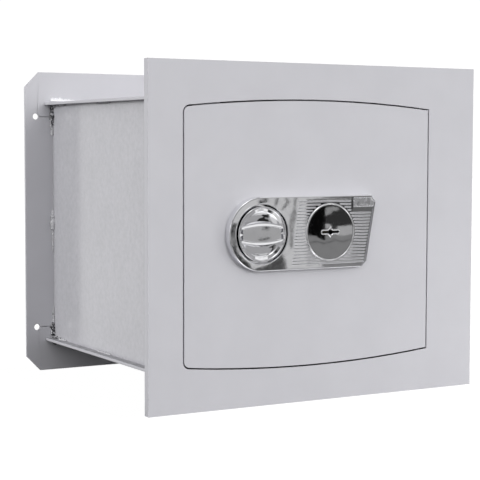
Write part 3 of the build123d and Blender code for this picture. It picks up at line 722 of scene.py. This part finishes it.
knob_radius = (knob_high.x - knob_low.x) / 2
rim_radius = 25.4 * MM
rim_depth = 0.9 * MM
bowl_radius = 22.4 * MM
bowl_depth = 4.6 * MM
cone_depth = 1.2 * MM
lens_middle = 9.3 * MM
lens_end = 6.0 * MM
lens_reach = 24 * MM
grip_front = 1.0 * MM
slot_middle = 22.9 * MM
slot_half = 1.2 * MM
slot_depth = 3.2 * MM
ridge_front = 0.6 * MM
ridge_half = 1.5 * MM
ridge_lean = math.radians(20)
shoulder = 0.45 * MM


def ease(t):
    """A smooth step from 0 to 1."""
    t = min(1.0, max(0.0, t))
    return t * t * (3 - 2 * t)


def lens_edge(u):
    """Half the grip's height at this distance from the knob's middle."""
    return lens_end + (lens_middle - lens_end) * (1 - min(1.0, (u / lens_reach) ** 2))


def knob_depth(u, v):
    """How far the knob's surface lies behind its front."""
    r = math.hypot(u, v)
    beside = abs(v) - lens_edge(u)
    if r > rim_radius:
        share = (r - rim_radius) / (knob_radius - rim_radius)
        return rim_depth * (1 - math.sqrt(max(0.0, 1 - (2 * share - 1) ** 2)))
    # a cone leads from the rim down to the dish
    if r > bowl_radius:
        depth = rim_depth + (rim_radius - r) / (rim_radius - bowl_radius) * cone_depth
    else:
        depth = rim_depth + cone_depth + bowl_depth * (1 - (r / bowl_radius) ** 2) ** 0.8
    # the grip's flat front, with a slot at each end, and its leaning flanks
    if beside < 0:
        if r < bowl_radius:
            depth = min(depth, grip_front)
        depth += slot_depth * ease(1.6 - 1.6 * abs(abs(u) - slot_middle) / slot_half)
    else:
        depth = min(depth, grip_front + 1.4 * beside)
    # a leaning flat ridge with rounded shoulders along each edge of the grip
    if abs(beside) < ridge_half and r < rim_radius - 1.0 * MM:
        band = ridge_front + beside * math.tan(ridge_lean)
        over = max(0.0, abs(beside) - (ridge_half - shoulder))
        depth = min(depth, band + shoulder - math.sqrt(max(0.0, shoulder**2 - over**2)))
    return depth


rings, spokes = 200, 400
knob_rows = []
for i in range(rings + 1):
    r = knob_radius * (i / rings)
    row = []
    for k in range(spokes):
        a = 2 * math.pi * k / spokes
        u, v = r * math.cos(a), r * math.sin(a)
        row.append((knob_centre.x + u, knob_low.y + knob_depth(u, v), knob_centre.z + v))
    knob_rows.append(row)
knob_rows.append([(x, knob_high.y, z) for x, y, z in knob_rows[-1]])
knob_mesh = turned_outwards(from_grid("knob_dish", knob_rows, True, False, True))
smoothed(knob_mesh, 70)


def pointer(side):
    """A small three-sided lug on the rim, whose top leans like the ridges."""
    low = knob_low.y + 1.6 * MM
    top = knob_low.y + 0.85 * MM
    half_low = 3.1 * MM
    half_top = 2.2 * MM
    lean = half_top * math.tan(ridge_lean)
    base_x = knob_centre.x + side * 27.0 * MM
    tip_x = knob_centre.x + side * 20.6 * MM
    top_base_x = knob_centre.x + side * 26.4 * MM
    top_tip_x = knob_centre.x + side * 22.0 * MM
    points = [
        (base_x, low, knob_centre.z + half_low),
        (base_x, low, knob_centre.z - half_low),
        (tip_x, low, knob_centre.z),
        (top_base_x, top + lean, knob_centre.z + half_top),
        (top_base_x, top - lean, knob_centre.z - half_top),
        (top_tip_x, top, knob_centre.z),
    ]
    mesh = bpy.data.meshes.new("pointer")
    mesh.from_pydata(points, [], [(0, 1, 2), (3, 4, 5), (0, 1, 4, 3), (1, 2, 5, 4), (2, 0, 3, 5)])
    return turned_outwards(mesh)


knob_mesh = joined("knob_dish", [knob_mesh, pointer(-1), pointer(1)])
piece("knob_dish", knob_mesh, "knob_drive", "knob_chrome", "knob")

# ---------------------------------------------------------------- weld beads

side_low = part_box("left_side_panel")[0]
top_low, top_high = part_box("top_panel")
bottom_low, bottom_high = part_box("bottom_panel")
rear_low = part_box("rear_plate")[0]
right_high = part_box("right_side_panel")[1]


def bead(start, end, thick_start, thick_end, seed, ragged=1.0):
    """An uneven bead of weld between two points: ripples, blobs and a ragged line."""
    a, b = Vector(start), Vector(end)
    length = (b - a).length
    along = (b - a).normalized()
    side = along.orthogonal().normalized()
    other = along.cross(side)
    row_spacing = 0.45 * MM
    ripple_length = 1.9 * MM
    wander = 0.4 * ragged
    sides = 14
    count = max(8, int(length / row_spacing))
    rows = []
    for i in range(count + 1):
        t = i / count
        s = length * t
        drift = noise.noise(Vector((s * 90, seed, 0.3)))
        swell = noise.noise(Vector((s * 330, seed + 5, 1.7)))
        ripple = math.sin(s / ripple_length * 2 * math.pi + 2 * drift)
        radius = thick_start + (thick_end - thick_start) * t
        size = radius * (1 + ragged * (0.5 * drift + 0.4 * swell) + 0.1 * ripple)
        size *= math.sqrt(max(0.02, 1 - (2 * t - 1) ** 10))
        centre = a + (b - a) * t
        centre += side * radius * wander * noise.noise(Vector((s * 210, seed + 9, 4)))
        centre += other * radius * wander * noise.noise(Vector((s * 210, seed + 11, 8)))
        row = []
        for k in range(sides):
            angle = 2 * math.pi * k / sides
            way = side * math.cos(angle) + other * math.sin(angle)
            rough = 1 + 0.22 * noise.noise(centre * 1100 + way * 1.5)
            row.append(centre + way * size * rough)
        rows.append(row)
    return turned_outwards(from_grid("bead", rows, True, True, True))


def drop(place, radius, seed):
    """A ball of spatter, a little lumpy."""
    work = bmesh.new()
    bmesh.ops.create_icosphere(work, subdivisions=3, radius=radius)
    for v in work.verts:
        v.co *= 1 + 0.22 * noise.noise(v.co * 900 + Vector((seed, 0, 0)))
        v.co += Vector(place)
    mesh = bpy.data.meshes.new("drop")
    work.to_mesh(mesh)
    work.free()
    return mesh


def kept_within(mesh, low, high):
    """Presses a bead's points into a box, so that none comes out behind the sheet it lies on."""
    for v in mesh.vertices:
        v.co = [min(max(c, a), b) for c, a, b in zip(v.co, low, high)]
    return mesh


# in mm along the rear seam of a side panel: from, to, and the radius at both ends
rear_seam = (
    (-131, -112, 3.2, 2.0),
    (-113, -98, 1.6, 0.8),
    (-35, -9, 0.9, 2.0),
    (-10, 8, 2.9, 3.1),
    (7, 15, 2.2, 0.9),
    (98, 110, 1.4, 2.2),
    (109, 131, 2.3, 3.2),
)
# in mm along its upper and lower seams: from, to, and the radius
level_seam = ((-262, -246, 0.7), (-160, -126, 1.1), (-40, -12, 1.6), (-14, -4, 2.6))
# a bead may sink into a sheet, to 0.5 mm from its far face
sunk = 2.5 * MM
anywhere = 1.0
rear_stop = rear_low.y + sunk
seed_step = 3.7
beads = []
seed = 1.0
# out points away from the body, to the left and then to the right
for x, out in ((side_low.x, -1), (right_high.x, 1)):
    bx = x + out * 0.9 * MM
    by = rear_low.y - 0.9 * MM
    seam_low = (-anywhere if out < 0 else x - sunk, -anywhere, bottom_high.z - sunk)
    seam_high = (x + sunk if out < 0 else anywhere, rear_stop, top_low.z + sunk)
    for low, high, radius, end_radius in rear_seam:
        seed += seed_step
        run = bead((bx, by, low * MM), (bx, by, high * MM), radius * MM, end_radius * MM, seed)
        beads.append(kept_within(run, seam_low, seam_high))
    for z, up in ((top_low.z, -1), (bottom_high.z, 1)):
        bz = z + up * 0.3 * MM
        for near, distant, radius in level_seam:
            seed += seed_step
            run = bead((bx, near * MM, bz), (bx, distant * MM, bz), radius * MM, radius * 1.1 * MM, seed)
            beads.append(kept_within(run, seam_low, seam_high))
    # thick runs over the rear corners: a lump and its tail
    for z, up in ((top_high.z, 1), (bottom_low.z, -1)):
        seed += 2.9
        bz = z + up * 1.4 * MM
        heap_low = (-anywhere, -anywhere, z - sunk if up > 0 else -anywhere)
        heap_high = (anywhere, rear_stop, anywhere if up > 0 else z + sunk)
        lump_start = (x + out * 3 * MM, by, bz)
        lump_end = (x - out * 11 * MM, by - 1 * MM, bz)
        lump = bead(lump_start, lump_end, 3.2 * MM, 4.4 * MM, seed, 0.5)
        tail_start = (x - out * 9 * MM, by, bz)
        tail_end = (x - out * 32 * MM, by, z + up * 0.6 * MM)
        tail = bead(tail_start, tail_end, 3.0 * MM, 1.7 * MM, seed + 1, 0.6)
        beads.append(kept_within(lump, heap_low, heap_high))
        beads.append(kept_within(tail, heap_low, heap_high))
    # spatter on the rear plate, then along the upper and lower seams
    for i in range(16):
        height = (-120 if i % 2 else 120) * MM + 13 * MM * noise.noise(Vector((i * 3.1, 2, 0)))
        size = (0.8 + 1.5 * abs(noise.noise(Vector((i * 1.7, 5, 0))))) * MM
        reach = x + out * (2.0 + 6 * abs(noise.noise(Vector((i * 2.3, 9, 1))))) * MM
        beads.append(drop((reach, rear_low.y, height), size, seed + i))
    for i in range(8):
        inward = (4 + i * 2.2) * MM
        size = (0.6 + 1.3 * abs(noise.noise(Vector((i * 1.3, 7, 3))))) * MM
        beads.append(drop((bx, rear_low.y - inward, top_low.z - 1.2 * MM), size, seed + i * 2))
        beads.append(drop((bx, rear_low.y - inward, bottom_high.z + 1.0 * MM), size * 0.8, seed + i * 3))
bead_mesh = joined("weld_runs", beads)
smoothed(bead_mesh, 60)
piece("weld_runs", bead_mesh, "safe_body", "weld_metal", "weld_beads")

# ---------------------------------------------------------------- lever springs

spring_low, spring_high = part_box("lever_springs")
spring_mid = middle("lever_springs")
strip = 0.4 * MM
spring_rise = 7.0 * MM
spring_apart = 12 * MM


def spring_strip(z):
    """A folded strip between the case wall and the levers, drawn as a smooth zigzag."""
    left, right = spring_low.x + strip / 2, spring_high.x - strip / 2
    turns = [
        (left, z - spring_rise),
        (right - 1.2 * MM, z - 1.0 * MM),
        (left + 1.2 * MM, z + 1.0 * MM),
        (right, z + spring_rise),
    ]
    line = [Vector(turns[0])]
    for i in (1, 2):
        line += [Vector(point) for point in rounded_corner(turns[i - 1], turns[i], turns[i + 1], 0.5 * MM, 8)]
    line.append(Vector(turns[3]))
    rows = []
    for i, point in enumerate(line):
        d = (line[min(i + 1, len(line) - 1)] - line[max(i - 1, 0)]).normalized()
        off = Vector((-d.y, d.x)) * (strip / 2)
        a, b = point + off, point - off
        near, far = spring_low.y, spring_high.y
        rows.append([(a.x, near, a.y), (b.x, near, b.y), (b.x, far, b.y), (a.x, far, a.y)])
    return turned_outwards(from_grid("spring", rows, True, True, True))


springs = joined("spring_strips", [spring_strip(spring_mid.z + side * spring_apart) for side in (-1, 1)])
smoothed(springs, 40)
spring_piece = piece("spring_strips", springs, "door", "spring_steel", "lever_springs")
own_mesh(spring_piece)

# ---------------------------------------------------------------- painted edges

for node in ("front_frame", "rear_plate", "mechanism_cover"):
    softened(node, 0.3 * MM)
for node in ("door_plate", "top_panel", "bottom_panel"):
    softened(node, 0.4 * MM)

# ---------------------------------------------------------------- stage


def stage_mesh(name, mesh, material, camera_sees, mirrors_see, diffuse_sees=False, shades=False):
    """Places a mesh of the stage, seen only by the rays that are named."""
    made = bpy.data.objects.new(name, mesh)
    mesh.materials.append(material)
    bpy.context.scene.collection.objects.link(made)
    made.visible_camera = camera_sees
    made.visible_glossy = mirrors_see
    made.visible_diffuse = diffuse_sees
    made.visible_transmission = False
    made.visible_shadow = shades


def flat(name, points):
    """A mesh of one flat face."""
    mesh = bpy.data.meshes.new(name)
    mesh.from_pydata(points, [], [tuple(range(len(points)))])
    return mesh


def level_sheet(name, low, high, z):
    """A level rectangle between two (x, y) corners."""
    left, near = low
    right, far = high
    return flat(name, [(left, near, z), (right, near, z), (right, far, z), (left, far, z)])


def ball(name, segments, rings, radius, behind=None):
    """A sphere about the origin, or only its part behind this y."""
    work = bmesh.new()
    bmesh.ops.create_uvsphere(work, u_segments=segments, v_segments=rings, radius=radius)
    if behind is not None:
        bmesh.ops.delete(work, geom=[v for v in work.verts if v.co.y > behind], context="VERTS")
    mesh = bpy.data.meshes.new(name)
    work.to_mesh(mesh)
    work.free()
    return mesh


def glow(name):
    """A new material that only gives light, with its node tree and its emission node."""
    made, tree, surface = shader(name)
    tree.nodes.remove(surface)
    light = add(tree, "Emission")
    tree.links.new(light.outputs["Emission"], tree.nodes["Material Output"].inputs["Surface"])
    return made, tree, light


def even_glow(name, brightness):
    """A material that gives the same white light all over."""
    made, tree, light = glow(name)
    connect(tree, light, {"Color": (1, 1, 1, 1), "Strength": brightness})
    return made


stage_mesh("backdrop", ball("backdrop", 32, 16, 9), even_glow("backdrop_white", 1.05), True, False)

floor_material, floor_tree, floor_surface = shader("pale_floor")
connect(floor_tree, floor_surface, {
    "Base Color": (0.12, 0.12, 0.12, 1),
    "Roughness": 1.0,
    "Specular IOR Level": 0.0,
    "Emission Color": (1, 1, 1, 1),
    "Emission Strength": 1.0,
})
floor_z = cad_box[0].z - 0.4 * MM
stage_mesh("floor", level_sheet("floor", (-8, -8), (8, 8), floor_z), floor_material, True, False)

# the floor right under the safe lies in its own shadow and throws no light up
shade_mesh = level_sheet("shade_under", (-0.22, -0.305), (0.22, 0.04), floor_z)
stage_mesh("shade_under", shade_mesh, even_glow("shade_black", 0.0), False, True, True, True)

world = bpy.data.worlds.new("studio")
bpy.context.scene.world = world
world.use_nodes = True
sky = world.node_tree
toward = axes(sky, "Generated")
height = ranged(sky, toward["Z"], 0, 1, -1, 1)
behind = ranged(sky, toward["Y"], 0, 1, -0.05, 0.35)


def sky_part(strength, *steps):
    """One side of the studio: its tone at each height, from straight down at 0 to straight up at 1."""
    ramp = add(sky, "ValToRGB", {"Fac": height})
    stops = ramp.color_ramp.elements
    while len(stops) < len(steps):
        stops.new(0.5)
    for stop, (place, value) in zip(stops, steps):
        stop.position = place
        stop.color = (value, value, value * 1.01, 1)
    return add(sky, "Background", {"Color": ramp.outputs["Color"], "Strength": strength}).outputs[0]


front_sky = sky_part(2.45, (0.45, 0.015), (0.5, 0.03), (0.55, 0.5), (0.62, 0.85), (0.8, 0.45), (1.0, 0.2))
back_steps = ((0.33, 0.02), (0.39, 0.3), (0.44, 1.2), (0.5, 1.05), (0.6, 0.8), (0.8, 0.4), (1.0, 0.2))
back_sky = sky_part(0.95, *back_steps)
both_skies = add(sky, "MixShader", enumerate((behind, front_sky, back_sky)))
sky.links.new(both_skies.outputs[0], sky.nodes["World Output"].inputs["Surface"])


def softbox(name, place, target, width, height, power, glossy=True):
    """A rectangular lamp turned towards a target. glossy says if it shows in reflections."""
    data = bpy.data.lights.new(name, "AREA")
    data.shape = "RECTANGLE"
    data.size = width
    data.size_y = height
    data.energy = power
    made = bpy.data.objects.new(name, data)
    made.location = place
    made.rotation_euler = (Vector(target) - Vector(place)).to_track_quat("-Z", "Y").to_euler()
    made.visible_camera = False
    made.visible_glossy = glossy
    bpy.context.scene.collection.objects.link(made)


aim = (0, -0.2, 0)
softbox("front", (0.6, -5.5, 1.1), aim, 1.2, 1.2, 70.9)
# a low light that grazes the lower right corner of the front
softbox("low_right", (0.6, -0.8, -0.17), (0.17, -0.316, -0.17), 0.3, 0.05, 1.05, glossy=False)
softbox("side", (-2.2, 0.1, 0.6), aim, 0.45, 0.45, 13.8)

# What only glossy surfaces see in front of the safe: a dim room with darker and lighter things in it, so
# that the plating has something to reflect.
room, room_tree, room_light = glow("room")
dark_things = noise_at(room_tree, 0.9, 2, 0.4, (1, 1, 1.6), 4.2)
dark_things = tinted(room_tree, dark_things, (0.02, 0.02, 0.02), (0.36, 0.36, 0.365), 0.40, 0.43)
bright_things = noise_at(room_tree, 0.7, 1, 0.3, (1.4, 1, 0.7), 9.5)
bright_things = tinted(room_tree, bright_things, (0.0, 0.0, 0.0), (0.3, 0.3, 0.3), 0.55, 0.62)
room_tone = mixed(room_tree, 1.0, dark_things, bright_things, blend_type="ADD")
# brighter towards its ceiling and its floor
off_level = maths(room_tree, "ABSOLUTE", axes(room_tree)["Z"])
room_strength = ranged(room_tree, off_level, 1.0, 3.6, 1.2, 2.0)
connect(room_tree, room_light, {"Color": room_tone, "Strength": room_strength})
stage_mesh("room_shell", ball("room_shell", 48, 24, 2.4, -0.5), room, False, True)

# Cards that only glossy surfaces see. Each is laid where the camera finds it in the plating.
eye = Vector(camera.location)


def face_card(name, brightness, reach, *outline):
    """A card seen, from the camera, in this area of the escutcheon's face: x and z in mm."""
    points = []
    for x, z in outline:
        p = Vector((x * MM, face, z * MM))
        d = p - eye
        points.append(tuple(p + Vector((d.x, -d.y, d.z)) * (reach / abs(d.y))))
    stage_mesh(name, flat(name, points), even_glow(name + "_tone", brightness), False, True)


def band_card(name, side, brightness, reach=0.9):
    """A curved card that the camera sees in one leaning ridge of the grip: side is 1 above and -1 below."""
    half_high = Vector((0, 0, 0.02))
    rows = []
    for i in range(-9, 10):
        u = i * 3 * MM
        slope = 2 * (lens_middle - lens_end) * u / lens_reach**2
        p = Vector((knob_centre.x + u, knob_low.y, knob_centre.z + side * lens_edge(u)))
        d = (p - eye).normalized()
        lean = Vector((slope * math.tan(ridge_lean), -1, side * math.tan(ridge_lean))).normalized()
        way = d - 2 * d.dot(lean) * lean
        c = p + way * (reach / abs(way.y))
        rows.append([c - half_high, c + half_high])
    stage_mesh(name, from_grid(name, rows), even_glow(name + "_tone", brightness), False, True)


band_card("band_above", 1, 0.95)
band_card("band_below", -1, 0.95)

# the pale wall seen in the whole face, then what stands before it
face_card("wall", 0.56, 0.96, (-118, -44), (70, -44), (70, 46), (-118, 46))
face_card("right_side_tone", 0.13, 0.94, (33, 42), (66, 42), (66, -40), (33, -40))
face_card("top_band", 0.12, 0.935, (-12, 40), (35, 40), (35, 34.6), (0, 35.2))

# seen in the keyhole disc
lower_edge = ((-22, -0.8), (-12, -2), (-5, -5.6), (-0.4, -6.8))
upper_edge = ((33, 7.5), (20, 6.5), (12, 4.5), (-0.4, 3.5))
face_card("disc_left", 0.004, 0.88, (-22, 34), (-0.4, 34), *reversed(lower_edge))
face_card("disc_upper", 0.05, 0.9, (-0.4, 34), (33, 34), *upper_edge)
patch = ((-0.4, 26), (8, 27), (14, 26.5), (17, 24), (12, 22.5), (9, 23), (6, 20), (-0.4, 18))
face_card("disc_patch", 0.42, 0.87, *patch)
face_card("disc_spot", 0.6, 0.87, (-0.4, 10), (5, 9.5), (8, 7), (3, 4.5), (-0.4, 5))
face_card("disc_lower", 0.33, 0.91, *lower_edge, *reversed(upper_edge), (33, -31), (-22, -31))
face_card("disc_band", 0.62, 0.89, (14, 7), (33, 8), (33, -1), (24, -2.5), (14, -2))
wave_top = ((-24, -9), (-12, -6.5), (-2, -9), (10, -7))
wave_bottom = ((10, -8.2), (-2, -10.6), (-12, -8.2), (-23, -10.6))
face_card("disc_wave_a", 0.2, 0.885, *wave_top, *wave_bottom)
face_card("disc_wave_b", 0.22, 0.885, (8, -5), (20, -8), (31, -6), (31, -7.4), (20, -9.6), (8, -6.4))

# seen round the knob
knob_top = ((-77.5, 35.2), (-72, 35.8), (-68.5, 35.4), (-69.5, 32.2), (-74, 31.4), (-78, 32))
face_card("knob_top", 0.01, 0.88, *knob_top)
face_card("knob_left", 0.02, 0.88, (-109.5, 12), (-105.5, 13), (-105, 6), (-107, 2), (-110, 1))
low_left_inside = ((-109, -10), (-104, -11), (-98, -19), (-88, -28))
low_left_outside = ((-86, -33), (-92, -33), (-101, -27), (-107, -19))
face_card("low_left", 0.03, 0.88, *low_left_inside, *low_left_outside)
low_mid = ((-84, -38), (-46, -38), (-47, -27), (-50, -18), (-56, -19), (-62, -24), (-72, -29), (-82, -31.5))
face_card("low_mid", 0.07, 0.885, *low_mid)

# seen between the knob and the ribs
wave_right = ((-37, 38), (-32, 38), (-35, 28), (-33.5, 20), (-36.5, 10), (-37, 0), (-38.5, -12), (-41, -15))
wave_left = ((-43, -10), (-41.5, 0), (-42.5, 10), (-41.5, 19), (-38, 26))
face_card("wave", 0.24, 0.88, *wave_right, *wave_left)
face_card("curl", 0.16, 0.88, (-59, 37), (-55.5, 37), (-57, 31.5), (-60, 28), (-62, 29))
hook = ((-48.5, 37), (-45, 37), (-43, 31.5), (-49, 25.5), (-53, 23.5), (-51, 27), (-46.5, 31.5))
face_card("hook", 0.1, 0.88, *hook)

# seen in the grip, and at the plate's ends
face_card("grip_tone", 0.38, 0.89, (-98, -7), (-50, -7), (-50, 11), (-98, 11))
face_card("grip_dark_a", 0.03, 0.87, (-74.5, 6.2), (-69, 6.0), (-65.5, 7.2), (-67, 8.8), (-71, 9.0))
grip_dark = ((-79, -3.2), (-72, -2.6), (-66, -1.4), (-65, -2.6), (-70, -4.4), (-77, -4.6))
face_card("grip_dark_b", 0.05, 0.87, *grip_dark)
left_tone = ((-106.5, -20), (-102, -20), (-101.5, 0), (-102, 14), (-106.5, 14), (-108, 0))
face_card("left_tone", 0.14, 0.89, *left_tone)
face_card("low_right", 0.2, 0.93, (-2, -30.5), (66, -22), (66, -40), (-2, -40))
face_card("side_bar", 0.25, 0.89, (-111, 36), (-108, 36), (-108, -36), (-111, -36))
